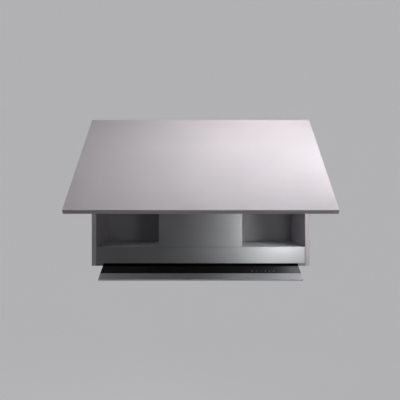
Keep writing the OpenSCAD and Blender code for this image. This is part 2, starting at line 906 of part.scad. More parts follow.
module motor_bracket() {
    x = -scroll_x - scroll_t - mount_l - bracket_sheet;
    color("#97999c") translate([x, scroll_y, scroll_z]) rotate([0, 90, 0]) {
        cylinder(r = motor_r / 2 + 4, h = bracket_sheet);
        for (a = [30, 150, 270]) rotate(a) {
            translate([0, -7, 0]) cube([mount_ring, 14, bracket_sheet]);
            translate([mount_ring, 0, 0]) cylinder(r = 7, h = bracket_sheet);
        }
    }
}

module motor_mounts() {
    x = -scroll_x - scroll_t - mount_l;
    color("#1f2022") translate([x, scroll_y, scroll_z]) rotate([0, 90, 0])
        for (a = [30, 150, 270]) rotate(a) translate([mount_ring, 0, 0])
            cylinder(r = mount_r, h = mount_l);
}

module motor_shaft() {
    color("#c6c8cb") translate([-impeller_w / 2 + 10, scroll_y, scroll_z]) rotate([0, 90, 0])
        cylinder(r = shaft_r, h = impeller_w / 2 + 2);
}

module impeller() {
    ring = impeller_r - 14;
    color("#d8dadc") translate([0, scroll_y, scroll_z]) rotate([0, 90, 0]) {
        difference() {
            union() {
                translate([0, 0, -1]) cylinder(r = impeller_r - 1, h = 2);
                translate([0, 0, -10]) cylinder(r = shaft_r + 7, h = 20);
            }
            translate([0, 0, -11]) cylinder(r = shaft_r + 0.01, h = 22);
        }
        for (z = [-impeller_w / 2, impeller_w / 2 - 2]) translate([0, 0, z]) difference() {
            cylinder(r = impeller_r, h = 2);
            translate([0, 0, -cut]) cylinder(r = ring, h = 2 + 2 * cut);
        }
        for (i = [0 : blade_count - 1]) rotate(i * 360 / blade_count)
            translate([ring + 1, 0, -impeller_w / 2 + 1]) rotate(28)
                cube([12, 1, impeller_w - 2]);
    }
}

module capacitor() {
    color("#e4e5e6") translate([capacitor_x, -carcass_d + capacitor_d, body_h]) {
        cylinder(r = capacitor_r, h = capacitor_h);
        translate([0, 0, capacitor_h]) cylinder(r = 5, h = 6);
    }
}

// Outlet
module outlet_spigot() {
    z = tower_top;
    half = sqrt(pow(spigot_bore, 2) - pow(damper_off + damper_pin_r, 2)) - 0.1;
    color("#3a3b3d") translate([0, outlet_y, 0]) {
        translate([0, 0, z]) difference() {
            union() {
                cylinder(r = flange_r, h = flange_t);
                cylinder(r = spigot_r, h = flange_t + spigot_h);
            }
            translate([0, 0, -cut]) cylinder(r = spigot_bore, h = flange_t + spigot_h + 2 * cut);
        }
        difference() {
            translate([0, 0, damper_z - leaf_t / 2 - 0.4 - 2]) cylinder(r = spigot_bore + 0.5, h = 2);
            translate([0, 0, damper_z - 10]) cylinder(r = spigot_bore - stop_w, h = 20);
        }
        for (y = [-damper_off, damper_off]) translate([-half, y, damper_z]) rotate([0, 90, 0])
            cylinder(r = damper_pin_r, h = 2 * half);
    }
}

// A half disc that hinges on its own pin and closes one half of the collar
module damper_leaf() {
    difference() {
        union() {
            intersection() {
                translate([0, 0, -leaf_t / 2]) cylinder(r = leaf_r, h = leaf_t);
                translate([-leaf_r, damper_off, -leaf_t]) cube([2 * leaf_r, leaf_r, 2 * leaf_t]);
            }
            translate([-knuckle_l / 2, damper_off, 0]) rotate([0, 90, 0])
                cylinder(r = knuckle_r, h = knuckle_l);
        }
        translate([-leaf_r - cut, damper_off, 0]) rotate([0, 90, 0])
            cylinder(r = damper_pin_r + run, h = 2 * leaf_r + 2 * cut);
    }
}

module damper_leaf_rear() {
    color("#4a4c4e") translate([0, outlet_y, damper_z]) damper_leaf();
}

module damper_leaf_front() {
    color("#4a4c4e") translate([0, outlet_y, damper_z]) mirror([0, 1, 0]) damper_leaf();
}

// Electrics
module control_box() {
    z = tower_top;
    color("#d5d6d8") {
        difference() {
            slab([box_x, box_x + box_w], [box_d, box_d + box_l], [z, z + box_h]);
            slab([box_x + box_t, box_x + box_w - box_t], [box_d + box_t, box_d + box_l - box_t],
                [z + box_t, z + box_h + cut]);
        }
        for (x = [post_in, box_w - post_room], d = [post_in, box_l - post_in])
            translate([box_x + x, -carcass_d + box_d + d, z + box_t / 2])
                cylinder(r = post_r, h = post_h);
    }
}

module control_cover() {
    z = tower_top + box_h;
    color("#d5d6d8") difference() {
        slab([box_x, box_x + box_w], [box_d, box_d + box_l], [z, z + box_t]);
        translate([gland_x, gland_y, z - cut]) cylinder(r = neck_r + seat, h = box_t + 2 * cut);
    }
}

module control_board() {
    z = tower_top + box_t / 2 + post_h;
    color("#2f6b46") {
        slab([box_x + board_in, box_x + box_w - board_room],
            [box_d + board_in, box_d + box_l - board_in], [z, z + board_t3]);
        translate([box_x, box_d - carcass_d, z + board_t3]) {
            translate(transformer_at) cube(transformer);
            translate(relay_at) cube(relay);
        }
    }
}

module terminal_block() {
    z = tower_top + box_t;
    x0 = box_x + box_w - block_in - block[0];
    mid_d = box_d + block_d + block[1] / 2;
    color("#e9e7df") difference() {
        slab([x0, x0 + block[0]], [mid_d - block[1] / 2, mid_d + block[1] / 2],
            [z, z + block[2]]);
        for (i = [-1, 0, 1])
            bar_x(x0 - cut, mid_d + i * wire_pitch, z + block[2] / 2, wire_r, block[0] / 2 + cut);
    }
}

module cable_gland() {
    color("#1f2022") translate([gland_x, gland_y, tower_top + box_h + box_t]) difference() {
        union() {
            cylinder(r = gland_r, h = gland_h);
            translate([0, 0, -gland_neck]) cylinder(r = neck_r, h = gland_neck + gland_h / 2);
        }
        translate([0, 0, -gland_neck - cut])
            cylinder(r = cable_r, h = gland_neck + gland_h + 2 * cut);
    }
}

// Visor
module visor_glass() {
    color("#0c0d0f") on_slope() translate([-visor_w / 2, -glass_out, -glass_t])
        cube([visor_w, glass_out + visor_in, glass_t]);
}

module visor_strip() {
    drop = strip_l * sin(strip_drop);
    far = strip_y - strip_l * cos(strip_drop);
    color("#8f9193") on_slope() along_x(-visor_w / 2, visor_w) polygon([
        [strip_y, 0], [far, -drop], [far - 0.6, -drop - 1], [far, -strip_t + 4],
        [far + lip_l, -strip_t], [strip_y, -strip_t]
    ]);
}

module visor_tray() {
    x = tray_w / 2;
    y0 = -glass_out;
    y1 = visor_in;
    z1 = -glass_t;
    color("#9b9da0") on_slope() difference() {
        union() {
            translate([-x, y0, z1 - sheet_t]) cube([2 * x, y1 - y0, sheet_t]);
            both_sides() translate([x - sheet_t, y0, -tray_deep])
                cube([sheet_t, y1 - y0, tray_deep + z1 - sheet_t / 2]);
            translate([-x, y0, -strip_t]) cube([2 * x, sheet_t, strip_t + z1 - sheet_t / 2]);
            translate([-x, y1 - sheet_t, -strip_t]) cube([2 * x, sheet_t, strip_t + z1 - sheet_t / 2]);
        }
        translate([mark_x - board_lead, mark_y - board_l2 / 2 - gap, z1 - 2 * sheet_t])
            cube([board_w2 + 2 * gap, board_l2 + 2 * gap, 3 * sheet_t]);
    }
}

module touch_board() {
    color("#2f6b46") on_slope()
        translate([mark_x - board_lead + gap, mark_y - board_l2 / 2, -glass_t - board_t2])
            cube([board_w2, board_l2, board_t2]);
}

// Six plain symbols: a ring, a minus, two bars, a plus and a lamp dot
module bar_mark(l, w) {
    translate([-l / 2, -w / 2]) square([l, w]);
}

module touch_mark(i) {
    if (i == 0) difference() {
        circle(r = 2);
        circle(r = 1.4);
    }
    if (i == 1) bar_mark(4, 0.7);
    if (i == 2) for (y = [-1, 1]) translate([0, y]) bar_mark(3.4, 0.6);
    if (i == 3) for (y = [-1.4, 0, 1.4]) translate([0, y]) bar_mark(3.4, 0.6);
    if (i == 4) {
        bar_mark(4, 0.7);
        bar_mark(0.7, 4);
    }
    if (i == 5) circle(r = 1.4);
}

module touch_marks() {
    color("#d7dade") on_slope() for (i = [0 : 5])
        translate([mark_x + i * mark_pitch, mark_y, 0]) linear_extrude(mark_t) touch_mark(i);
}

// Telescopic runners, drawn on the right and open towards the middle
module channel(x_back, depth, web, top, h, y) {
    translate([x_back - web, y, -top - h]) cube([web, runner_l, h]);
    for (z = [-top - lip_t, -top - h])
        translate([x_back - depth, y, z]) cube([depth - web / 2, runner_l, lip_t]);
}

module runner_outers() {
    color("#b9bbbe") both_sides() on_slope()
        channel(cheek_x, outer_depth, web_t, runner_top, runner_h, runner_y);
}

module runner_middle() {
    color("#c6c8cb") on_slope() channel(middle_x, middle_depth, lip_t, middle_top, middle_h,
        runner_y - visor_travel / 2);
}

module runner_middle_left() {
    mirror([1, 0, 0]) runner_middle();
}

module runner_middle_right() {
    runner_middle();
}

module runner_inners() {
    x0 = tray_w / 2;
    color("#b9bbbe") both_sides() on_slope()
        translate([x0, runner_y - visor_travel, -inner_top - inner_h2])
            cube([inner_x - x0, runner_l, inner_h2]);
}

side_panel_left();
side_panel_right();
top_panel();
back_panel();
wall_rail();
wall_hangers();
panel_screws();
hinge_arms();
strut_brackets();
flap_panel();
hinge_boxes();
hinge_pins();
flap_studs();
flap_bumpers();
strut_cylinder_left();
strut_cylinder_right();
strut_rod_left();
strut_rod_right();
canopy_casing();
fascia();
front_top_cover();
rear_top_cover();
cheek_left();
cheek_right();
visor_deck();
intake_frame();
light_housing();
light_lens();
hood_screws();
filter_frame_left();
filter_frame_right();
filter_baffles_left();
filter_baffles_right();
tower_shell();
tower_front();
scroll_left();
scroll_right();
motor();
motor_bracket();
motor_mounts();
motor_shaft();
impeller();
capacitor();
outlet_spigot();
damper_leaf_front();
damper_leaf_rear();
control_box();
control_cover();
control_board();
terminal_block();
cable_gland();
visor_tray();
visor_glass();
visor_strip();
touch_board();
touch_marks();
runner_outers();
runner_middle_left();
runner_middle_right();
runner_inners();
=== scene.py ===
"""Looks of a built-in range hood in its wall unit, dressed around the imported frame.

Metres, +X to the right, +Y towards the wall, +Z up. The unit's front stands at Y = -0.34.
"""

import json
import logging
import math
from dataclasses import dataclass, field
from enum import Enum

import bmesh
import bpy
import numpy as np
from mathutils import Matrix, Vector

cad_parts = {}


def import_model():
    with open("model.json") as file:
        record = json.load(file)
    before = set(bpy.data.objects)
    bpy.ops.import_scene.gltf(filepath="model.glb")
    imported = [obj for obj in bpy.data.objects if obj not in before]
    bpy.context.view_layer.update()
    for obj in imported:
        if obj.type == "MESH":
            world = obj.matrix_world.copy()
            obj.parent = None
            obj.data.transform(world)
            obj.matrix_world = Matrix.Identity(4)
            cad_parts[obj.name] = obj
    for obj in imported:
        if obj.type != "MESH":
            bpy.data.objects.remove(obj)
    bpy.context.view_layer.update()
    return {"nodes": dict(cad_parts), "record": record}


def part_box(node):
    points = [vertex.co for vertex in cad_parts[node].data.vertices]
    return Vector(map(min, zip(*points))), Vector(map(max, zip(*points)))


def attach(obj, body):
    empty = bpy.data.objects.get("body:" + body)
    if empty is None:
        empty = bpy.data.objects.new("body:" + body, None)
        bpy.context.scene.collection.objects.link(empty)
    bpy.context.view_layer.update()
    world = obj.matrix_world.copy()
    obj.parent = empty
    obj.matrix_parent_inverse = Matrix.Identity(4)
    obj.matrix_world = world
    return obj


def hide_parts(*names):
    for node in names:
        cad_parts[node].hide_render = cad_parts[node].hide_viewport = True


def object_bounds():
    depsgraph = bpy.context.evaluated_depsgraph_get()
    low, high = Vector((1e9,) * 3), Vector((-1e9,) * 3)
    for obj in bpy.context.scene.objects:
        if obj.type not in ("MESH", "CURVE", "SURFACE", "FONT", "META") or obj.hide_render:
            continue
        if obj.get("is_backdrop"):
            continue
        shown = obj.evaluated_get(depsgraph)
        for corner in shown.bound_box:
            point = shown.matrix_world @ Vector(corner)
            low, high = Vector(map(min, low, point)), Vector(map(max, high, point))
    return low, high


LOG = logging.getLogger("range_hood")
MM = 0.001
UNIT_FRONT = -0.340
WELD_DISTANCE = 0.00002
BEVEL_SEGMENTS = 2
BEVEL_ANGLE = math.radians(50)
FLAT_WEIGHT = 100

Material = bpy.types.Material
Object = bpy.types.Object
Tree = bpy.types.NodeTree
Socket = bpy.types.NodeSocket


class Brushing(Enum):
    """The direction in which a sheet was brushed, as the axis its fine lines follow."""

    ACROSS = 0
    DEEP = 1
    UPRIGHT = 2


class Tone(Enum):
    """How a surface's small unevenness is laid out."""

    CLOUD = "cloud"
    CELL = "cell"


def linear(code: str) -> tuple[float, float, float, float]:
    """Turns an sRGB hex colour into the linear colour that shaders take.

    Args:
        code: six hex digits after a hash sign.

    Returns:
        Red, green, blue and an alpha of one.
    """
    parts = np.array([int(code[i : i + 2], 16) for i in (1, 3, 5)]) / 255.0
    rgb = np.where(parts <= 0.04045, parts / 12.92, ((parts + 0.055) / 1.055) ** 2.4)
    return (*rgb.tolist(), 1.0)


def add_node(
    tree: Tree,
    kind: str,
    values: dict[str | int, object] | None = None,
    links: dict[str | int, Socket] | None = None,
    **settings: object,
) -> bpy.types.Node:
    """Adds one shader node with its settings, plain values and links.

    Args:
        tree: the node tree.
        kind: the node's type name after "ShaderNode".
        values: default values of unlinked inputs.
        links: sockets that feed inputs.
        settings: attributes of the node itself.

    Returns:
        The new node.
    """
    made = tree.nodes.new("ShaderNode" + kind)
    for name, value in settings.items():
        setattr(made, name, value)
    for name, value in (values or {}).items():
        made.inputs[name].default_value = value
    for name, socket in (links or {}).items():
        tree.links.new(socket, made.inputs[name])
    return made


def object_pattern(tree: Tree, size_mm: tuple[float, float, float]) -> Socket:
    """Object coordinates counted in pattern sizes.

    Args:
        tree: the node tree.
        size_mm: the pattern's real size along X, Y and Z.

    Returns:
        A vector socket that grows by one for each pattern size.
    """
    place = add_node(tree, "TexCoord")
    scale = tuple(1.0 / (s * MM) for s in size_mm)
    return add_node(
        tree, "Mapping", {"Scale": scale}, {"Vector": place.outputs["Object"]}
    ).outputs["Vector"]


def spread(
    tree: Tree,
    source: Socket,
    low: float = 0.0,
    high: float = 1.0,
    cut: tuple[float, float] = (0.3, 0.7),
) -> Socket:
    """Stretches a pattern's value over a range.

    Args:
        tree: the node tree.
        source: the pattern's value.
        low: what the cut's lower end becomes.
        high: what the cut's upper end becomes.
        cut: the part of the pattern's range that is used; beyond it the value is clamped.

    Returns:
        The stretched value's socket.
    """
    return add_node(
        tree,
        "MapRange",
        {"From Min": cut[0], "From Max": cut[1], "To Min": low, "To Max": high},
        {"Value": source},
    ).outputs["Result"]


@dataclass(frozen=True)
class Finish:
    """What every finish shares: its common name, colour and response to light.

    Args:
        name: the real material and how its surface was made.
        colour: the middle colour, sRGB hex.
        shade: the colour of its darker places, sRGB hex.
        roughness: the middle roughness.
        metallic: one for bare metal.
        coat: the strength of a clear top layer.
    """

    name: str
    colour: str
    shade: str
    roughness: float = 0.5
    metallic: float = 0.0
    coat: float = 0.0

    def build(self) -> Material:
        """Makes the material once and returns it afterwards."""
        known = bpy.data.materials.get(self.name)
        if known is not None:
            return known
        made = bpy.data.materials.new(self.name)
        made.use_nodes = True
        tree = made.node_tree
        shader = tree.nodes["Principled BSDF"]
        shader.inputs["Metallic"].default_value = self.metallic
        shader.inputs["Coat Weight"].default_value = self.coat
        shader.inputs["Roughness"].default_value = self.roughness
        self.dress(tree, shader)
        made.diffuse_color = linear(self.colour)
        return made

    def dress(self, tree: Tree, shader: bpy.types.Node) -> None:
        """Adds the pattern of the finish; the plain one only has its colour."""
        shader.inputs["Base Color"].default_value = linear(self.colour)

    def mix(self, tree: Tree, shader: bpy.types.Node, factor: Socket) -> None:
        """Blends shade and colour by a factor into the base colour."""
        blend = add_node(tree, "Mix", links={0: factor}, data_type="RGBA")
        blend.inputs[6].default_value = linear(self.shade)
        blend.inputs[7].default_value = linear(self.colour)
        tree.links.new(blend.outputs[2], shader.inputs["Base Color"])

    def around_roughness(self, tree: Tree, source: Socket, swing: float) -> Socket:
        """The middle roughness, moved either way by a pattern."""
        return spread(tree, source, self.roughness - swing, self.roughness + swing)

    def bump(
        self,
        tree: Tree,
        shader: bpy.types.Node,
        height: Socket,
        depth_mm: float,
        strength: float = 0.5,
    ) -> None:
        """Feeds a height pattern of a real depth into the shader's normal.

        Args:
            tree: the node tree.
            shader: the surface shader.
            height: the pattern.
            depth_mm: the real depth between its lowest and highest places.
            strength: how much of it is felt.
        """
        made = add_node(
            tree, "Bump", {"Strength": strength, "Distance": depth_mm * MM}, {"Height": height}
        )
        tree.links.new(made.outputs["Normal"], shader.inputs["Normal"])


@dataclass(frozen=True)
class Uneven(Finish):
    """Moulded, lacquered, cast or plated surfaces with a fine unevenness all over.

    Args:
        grain_mm: the size of one bump of its fine texture.
        depth_mm: how deep the texture is.
        cloud_mm: the size of the slow changes of tone.
        rough_swing: how far the roughness moves either way.
        tone: whether the slow changes are clouds or crystal cells.
    """

    grain_mm: float = 1.2
    depth_mm: float = 0.05
    cloud_mm: float = 60.0
    rough_swing: float = 0.05
    tone: Tone = Tone.CLOUD

    def dress(self, tree: Tree, shader: bpy.types.Node) -> None:
        """Lays slow tone changes and a fine bump over the colour."""
        cloud = object_pattern(tree, (self.cloud_mm,) * 3)
        if self.tone is Tone.CELL:
            slow = add_node(
                tree, "TexVoronoi", {"Scale": 1.0, "Randomness": 1.0}, {"Vector": cloud}
            ).outputs["Color"]
            slow = add_node(tree, "SeparateColor", links={0: slow}).outputs[0]
        else:
            slow = add_node(
                tree, "TexNoise", {"Scale": 1.0, "Detail": 3.0}, {"Vector": cloud}
            ).outputs["Fac"]
        self.mix(tree, shader, spread(tree, slow))
        fine = add_node(
            tree,
            "TexNoise",
            {"Scale": 1.0, "Detail": 2.0},
            {"Vector": object_pattern(tree, (self.grain_mm,) * 3)},
        ).outputs["Fac"]
        rough = self.around_roughness(tree, slow, self.rough_swing)
        tree.links.new(rough, shader.inputs["Roughness"])
        self.bump(tree, shader, fine, self.depth_mm)


@dataclass(frozen=True)
class Brushed(Finish):
    """Sheet or bar with fine parallel lines from a belt or a brush.

    Args:
        way: the axis along which the lines run.
        line_mm: the length of one line and the pitch across it. The real pitch of 0.1 mm is too
            fine to show, so it is drawn as wide as a distant eye sees its bundles.
        depth_mm: how deep the lines are.
        swing: how far the roughness moves from line to line.
        smudge: how far wide, soft handling marks change the roughness.
        smudge_mm: the size of such a mark along X, Y and Z.
    """

    way: Brushing = Brushing.ACROSS
    line_mm: tuple[float, float] = (260.0, 1.1)
    depth_mm: float = 0.006
    swing: float = 0.015
    smudge: float = 0.02
    smudge_mm: tuple[float, float, float] = (140.0, 90.0, 110.0)

    def dress(self, tree: Tree, shader: bpy.types.Node) -> None:
        """Draws long lines into the colour, the roughness and the normal."""
        size = [self.line_mm[1]] * 3
        size[self.way.value] = self.line_mm[0]
        lines = add_node(
            tree,
            "TexNoise",
            {"Scale": 1.0, "Detail": 4.0, "Roughness": 0.65},
            {"Vector": object_pattern(tree, tuple(size))},
        ).outputs["Fac"]
        self.mix(tree, shader, spread(tree, lines))
        marks = add_node(
            tree,
            "TexNoise",
            {"Scale": 1.0, "Detail": 2.0},
            {"Vector": object_pattern(tree, self.smudge_mm)},
        ).outputs["Fac"]
        base = self.around_roughness(tree, lines, self.swing)
        extra = spread(tree, marks, -self.smudge, self.smudge)
        rough = add_node(tree, "Math", links={0: base, 1: extra}, operation="ADD")
        tree.links.new(rough.outputs[0], shader.inputs["Roughness"])
        self.bump(tree, shader, lines, self.depth_mm, strength=0.35)


@dataclass(frozen=True)
class Grained(Finish):
    """Planed softwood with its year rings running along the rail.

    Args:
        ring_mm: the width of one ring across the grain.
        ripple_mm: how far the summer wood stands out after planing.
    """

    ring_mm: float = 5.0
    ripple_mm: float = 0.05

    def dress(self, tree: Tree, shader: bpy.types.Node) -> None:
        """Bends bands by a slow noise so that they look like rings cut along the trunk."""
        where = object_pattern(tree, (400.0, self.ring_mm * 4, self.ring_mm * 4))
        bend = add_node(tree, "TexNoise", {"Scale": 1.0, "Detail": 3.0}, {"Vector": where})
        bands = add_node(
            tree,
            "TexWave",
            {"Scale": 1.2, "Distortion": 3.0, "Detail": 2.0, "Detail Scale": 1.5},
            {"Vector": where},
            bands_direction="Z",
        )
        both = add_node(
            tree, "Math", links={0: bend.outputs["Fac"], 1: bands.outputs["Fac"]},
            operation="MULTIPLY",
        ).outputs[0]
        self.mix(tree, shader, spread(tree, both, cut=(0.1, 0.5)))
        self.bump(tree, shader, both, self.ripple_mm, strength=0.4)


@dataclass(frozen=True)
class Circuit(Finish):
    """Glass-fibre board with solder mask: copper tracks show as a lighter, raised grid.

    Args:
        track_mm: the distance from one track to the next.
        copper_mm: how far the copper lifts the mask.
    """

    track_mm: float = 1.3
    copper_mm: float = 0.03

    def dress(self, tree: Tree, shader: bpy.types.Node) -> None:
        """Draws the tracks from a brick pattern under the mask."""
        tracks = add_node(
            tree,
            "TexBrick",
            {"Scale": 1.0, "Mortar Size": 0.06, "Brick Width": 6.0, "Row Height": 1.0},
            {"Vector": object_pattern(tree, (self.track_mm,) * 3)},
        )
        self.mix(tree, shader, tracks.outputs["Fac"])
        self.bump(tree, shader, tracks.outputs["Fac"], self.copper_mm)


@dataclass(frozen=True)
class BlackGlass(Finish):
    """Toughened float glass, printed black on its back: a faint haze lies on a mirror face.

    Args:
        haze_mm: the size of one cloud of the haze along X, Y and Z.
        haze_swing: how far the haze lowers and raises the roughness.
    """

    haze_mm: tuple[float, float, float] = (70.0, 45.0, 45.0)
    haze_swing: tuple[float, float] = (0.02, 0.05)

    def dress(self, tree: Tree, shader: bpy.types.Node) -> None:
        """Varies the roughness a little, as wiped glass does."""
        haze = add_node(
            tree,
            "TexNoise",
            {"Scale": 1.0, "Detail": 4.0},
            {"Vector": object_pattern(tree, self.haze_mm)},
        ).outputs["Fac"]
        self.mix(tree, shader, spread(tree, haze))
        down, up = self.haze_swing
        rough = spread(tree, haze, self.roughness - down, self.roughness + up)
        tree.links.new(rough, shader.inputs["Roughness"])


@dataclass(frozen=True)
class Paper(Uneven):
    """Studio paper that looks pale to camera, mirror and glass without more light on the object.

    Args:
        glow: the strength that these rays see added, where one is white.
    """

    glow: float = 0.7

    def dress(self, tree: Tree, shader: bpy.types.Node) -> None:
        """Adds the glow for camera, glossy and transmission rays only."""
        super().dress(tree, shader)
        ray = add_node(tree, "LightPath").outputs
        seen = add_node(
            tree, "Math", links={0: ray["Is Camera Ray"], 1: ray["Is Glossy Ray"]},
            operation="MAXIMUM",
        ).outputs[0]
        seen = add_node(
            tree, "Math", links={0: seen, 1: ray["Is Transmission Ray"]}, operation="MAXIMUM"
        ).outputs[0]
        shine = add_node(tree, "Math", {1: self.glow}, {0: seen}, operation="MULTIPLY").outputs[0]
        shader.inputs["Emission Color"].default_value = linear(self.colour)
        tree.links.new(shine, shader.inputs["Emission Strength"])


@dataclass(frozen=True)
class Lit(Uneven):
    """Opal plastic or print with a weak light of its own.

    Args:
        glow: the strength of that light.
    """

    glow: float = 0.2

    def dress(self, tree: Tree, shader: bpy.types.Node) -> None:
        """Adds the glow to the uneven surface."""
        super().dress(tree, shader)
        shader.inputs["Emission Color"].default_value = linear(self.colour)
        shader.inputs["Emission Strength"].default_value = self.glow


# Fibre board sprayed with matt lacquer: a soft sheen, with the slight ripple of the spray gun.
LACQUER = Uneven("matt_lacquered_fibreboard", "#d3cdd2", "#cec8cd", 0.42, grain_mm=2.2,
                 depth_mm=0.04, cloud_mm=160.0)
# Board faced with printed paper and laminated: flat grey without a sheen.
# Its grey is darker than the carcass lacquer, partly as painted shade of the deep compartment.
BACK_BOARD_PAINTED_SHADE = Uneven("grey_laminated_back_board", "#bab8bc", "#b2b0b4", 0.55, grain_mm=1.0,
                    depth_mm=0.04)
# Planed spruce: warm straw colour with darker year rings along the rail.
SPRUCE = Grained("planed_spruce", "#d2b98c", "#a98a58", 0.6)
# Pressed steel, zinc-plated: pale grey crystals with soft edges.
ZINC = Uneven("zinc_plated_steel", "#b4b8bb", "#93989c", 0.36, 1.0, grain_mm=0.8,
              depth_mm=0.02, cloud_mm=5.0, rough_swing=0.08, tone=Tone.CELL)
# Cold-headed screws with bright zinc: small, slightly cloudy highlights.
SCREW = Uneven("bright_zinced_screw", "#a8abae", "#8b8e91", 0.3, 1.0, grain_mm=0.5,
               depth_mm=0.02, cloud_mm=3.0)
# Stainless sheet, brushed lengthways with a 240 grit belt: light runs across it in wide ramps.
STEEL = Brushed("brushed_stainless_steel", "#c9cacc", "#bfc0c2", 0.31, 1.0)
# The ledge is the same sheet with a coarser brushing, so light from above spreads widely on it.
# Its colour is painted lighter than the front steel: a painted highlight of the lit ledge.
STEEL_TOP_PAINTED_HIGHLIGHT = Brushed("brushed_stainless_top", "#dcdddf", "#cfd0d2", 0.78, 1.0)
# Inner sheets keep the rolling mill's skin: dull, with faint lines from front to back.
STEEL_SHEET = Brushed("rolled_stainless_sheet", "#a2a3a5", "#909193", 0.42, 1.0,
                      way=Brushing.DEEP, line_mm=(120.0, 2.4))
# Cast polyurethane: milky, smooth and a little glossy.
BUMPER = Uneven("clear_polyurethane_bumper", "#d9dadb", "#cccdce", 0.25, grain_mm=0.6,
                depth_mm=0.02)
# Moulded nitrile rubber: dull black that swallows highlights.
RUBBER = Uneven("black_nitrile_rubber", "#26272a", "#1d1e20", 0.7, grain_mm=0.6, depth_mm=0.05)
# Steel tube, powder-coated black: a satin gloss over fine orange peel.
TUBE = Uneven("black_powder_coated_tube", "#1f2023", "#17181a", 0.35, grain_mm=0.7,
              depth_mm=0.05, coat=0.2)
# Ground rod with hard chrome: almost a mirror.
CHROME = Uneven("hard_chromed_rod", "#cfd1d3", "#c2c4c6", 0.12, 1.0, grain_mm=0.5,
                depth_mm=0.005, rough_swing=0.03)
# Rolled aluminium, anodised: soft silver with lines along each channel.
FILTER = Brushed("anodised_filter_aluminium", "#c0c2c4", "#aeb0b2", 0.38, 1.0,
                 way=Brushing.DEEP, line_mm=(60.0, 1.2))
# Pressed aluminium left bare: soft silver with slow clouds.
WHEEL = Uneven("pressed_aluminium_wheel", "#c4c6c8", "#b1b3b5", 0.35, 1.0, cloud_mm=20.0)
# Pressed lamp case with grey stove paint: even and half matt.
LAMP_CASE = Uneven("grey_painted_lamp_case", "#77797c", "#6c6e71", 0.5)
# Extruded opal polycarbonate: warm white with a weak glow of its own.
LENS = Lit("opal_polycarbonate_lens", "#eeebe2", "#e4e1d8", 0.35, glow=0.12)
# Injection-moulded polypropylene: waxy grey with an eroded mould texture.
SCROLL = Uneven("moulded_polypropylene", "#55575a", "#4a4c4f", 0.5, grain_mm=1.6, depth_mm=0.1)
# Drawn can of galvanised sheet: grey with large zinc crystals.
MOTOR = Uneven("galvanised_motor_can", "#8a8d90", "#75787b", 0.42, 1.0, cloud_mm=9.0,
               tone=Tone.CELL)
# Moulded can of white polypropylene: smooth with a soft gloss.
CAN = Uneven("white_moulded_can", "#dedfe0", "#d2d3d4", 0.3)
# Injection-moulded black polypropylene: waxy, with a fine mould texture.
COLLAR = Uneven("black_moulded_polypropylene", "#303134", "#27282a", 0.5, grain_mm=1.4,
                depth_mm=0.08)
# Injection-moulded ABS: light grey with a fine spark-eroded texture.
BOX = Uneven("grey_moulded_abs", "#cbccce", "#c1c2c4", 0.42, grain_mm=1.2, depth_mm=0.06)
# Glass-fibre board under green solder mask: glossy, with lighter copper tracks.
BOARD = Circuit("green_glass_fibre_board", "#2f6b46", "#3f7d55", 0.35)
# Injection-moulded natural polyamide: creamy and half matt.
TERMINAL = Uneven("white_polyamide", "#e0ded6", "#d2d0c8", 0.45)
# Injection-moulded black polyamide: half matt.
GLAND = Uneven("black_moulded_polyamide", "#232427", "#1b1c1e", 0.5)
# Toughened float glass printed on its back: deep black behind a sharp reflection.
GLASS = BlackGlass("black_printed_toughened_glass", "#0d0e10", "#090a0b", 0.07)
# Extruded bar, brushed lengthways and then anodised: darker and softer than steel.
STRIP = Brushed("brushed_anodised_aluminium", "#cfd0d3", "#c3c4c7", 0.70, 1.0,
                line_mm=(220.0, 1.4))
# Screen-printed marks with light behind them: pale and faintly shining.
PRINT = Lit("backlit_white_print", "#c9ccd1", "#c2c5ca", 0.5, glow=0.55)

SLOT_FINISH: dict[str, Finish] = {
    "carcass_board": LACQUER,
    "flap_board": LACQUER,
    "back_board": BACK_BOARD_PAINTED_SHADE,
    "rail_wood": SPRUCE,
    "zinc_steel": ZINC,
    "screw_steel": SCREW,
    "stainless_front": STEEL,
    "stainless_body": STEEL_SHEET,
    "bumper_rubber": BUMPER,
    "mount_rubber": RUBBER,
    "strut_black": TUBE,
    "strut_chrome": CHROME,
    "filter_aluminium": FILTER,
    "impeller_aluminium": WHEEL,
    "light_body": LAMP_CASE,
    "lens_glass": LENS,
    "scroll_plastic": SCROLL,
    "motor_paint": MOTOR,
    "capacitor_plastic": CAN,
    "collar_plastic": COLLAR,
    "box_plastic": BOX,
    "circuit_board": BOARD,
    "terminal_plastic": TERMINAL,
    "gland_plastic": GLAND,
    "visor_glass": GLASS,
    "strip_aluminium": STRIP,
    "mark_ink": PRINT,
}


def mesh_piece(
    name: str, points: np.ndarray, faces: np.ndarray | list, finish: Finish, sharp: float = 35.0
) -> Object:
    """Puts points and faces into a closed, outward-facing mesh object.

    Args:
        name: the piece's name.
        points: (n, 3) places in metres.
        faces: corner numbers of each face.
        finish: what it is made of.
        sharp: the angle in degrees above which an edge stays crisp.

    Returns:
        The linked object, at the origin.
    """
    data = bpy.data.meshes.new(name)
    data.from_pydata(points.reshape(-1, 3).tolist(), [], [list(map(int, f)) for f in faces])
    work = bmesh.new()
    work.from_mesh(data)
    bmesh.ops.remove_doubles(work, verts=work.verts, dist=WELD_DISTANCE)
    bmesh.ops.recalc_face_normals(work, faces=work.faces)
    work.to_mesh(data)
    work.free()
    data.polygons.foreach_set("use_smooth", np.ones(len(data.polygons), bool))
    data.set_sharp_from_angle(angle=math.radians(sharp))
    made = bpy.data.objects.new(name, data)
    bpy.context.scene.collection.objects.link(made)
    data.materials.append(finish.build())
    LOG.info("piece %s: %d faces of %s", name, len(data.polygons), finish.name)
    return made


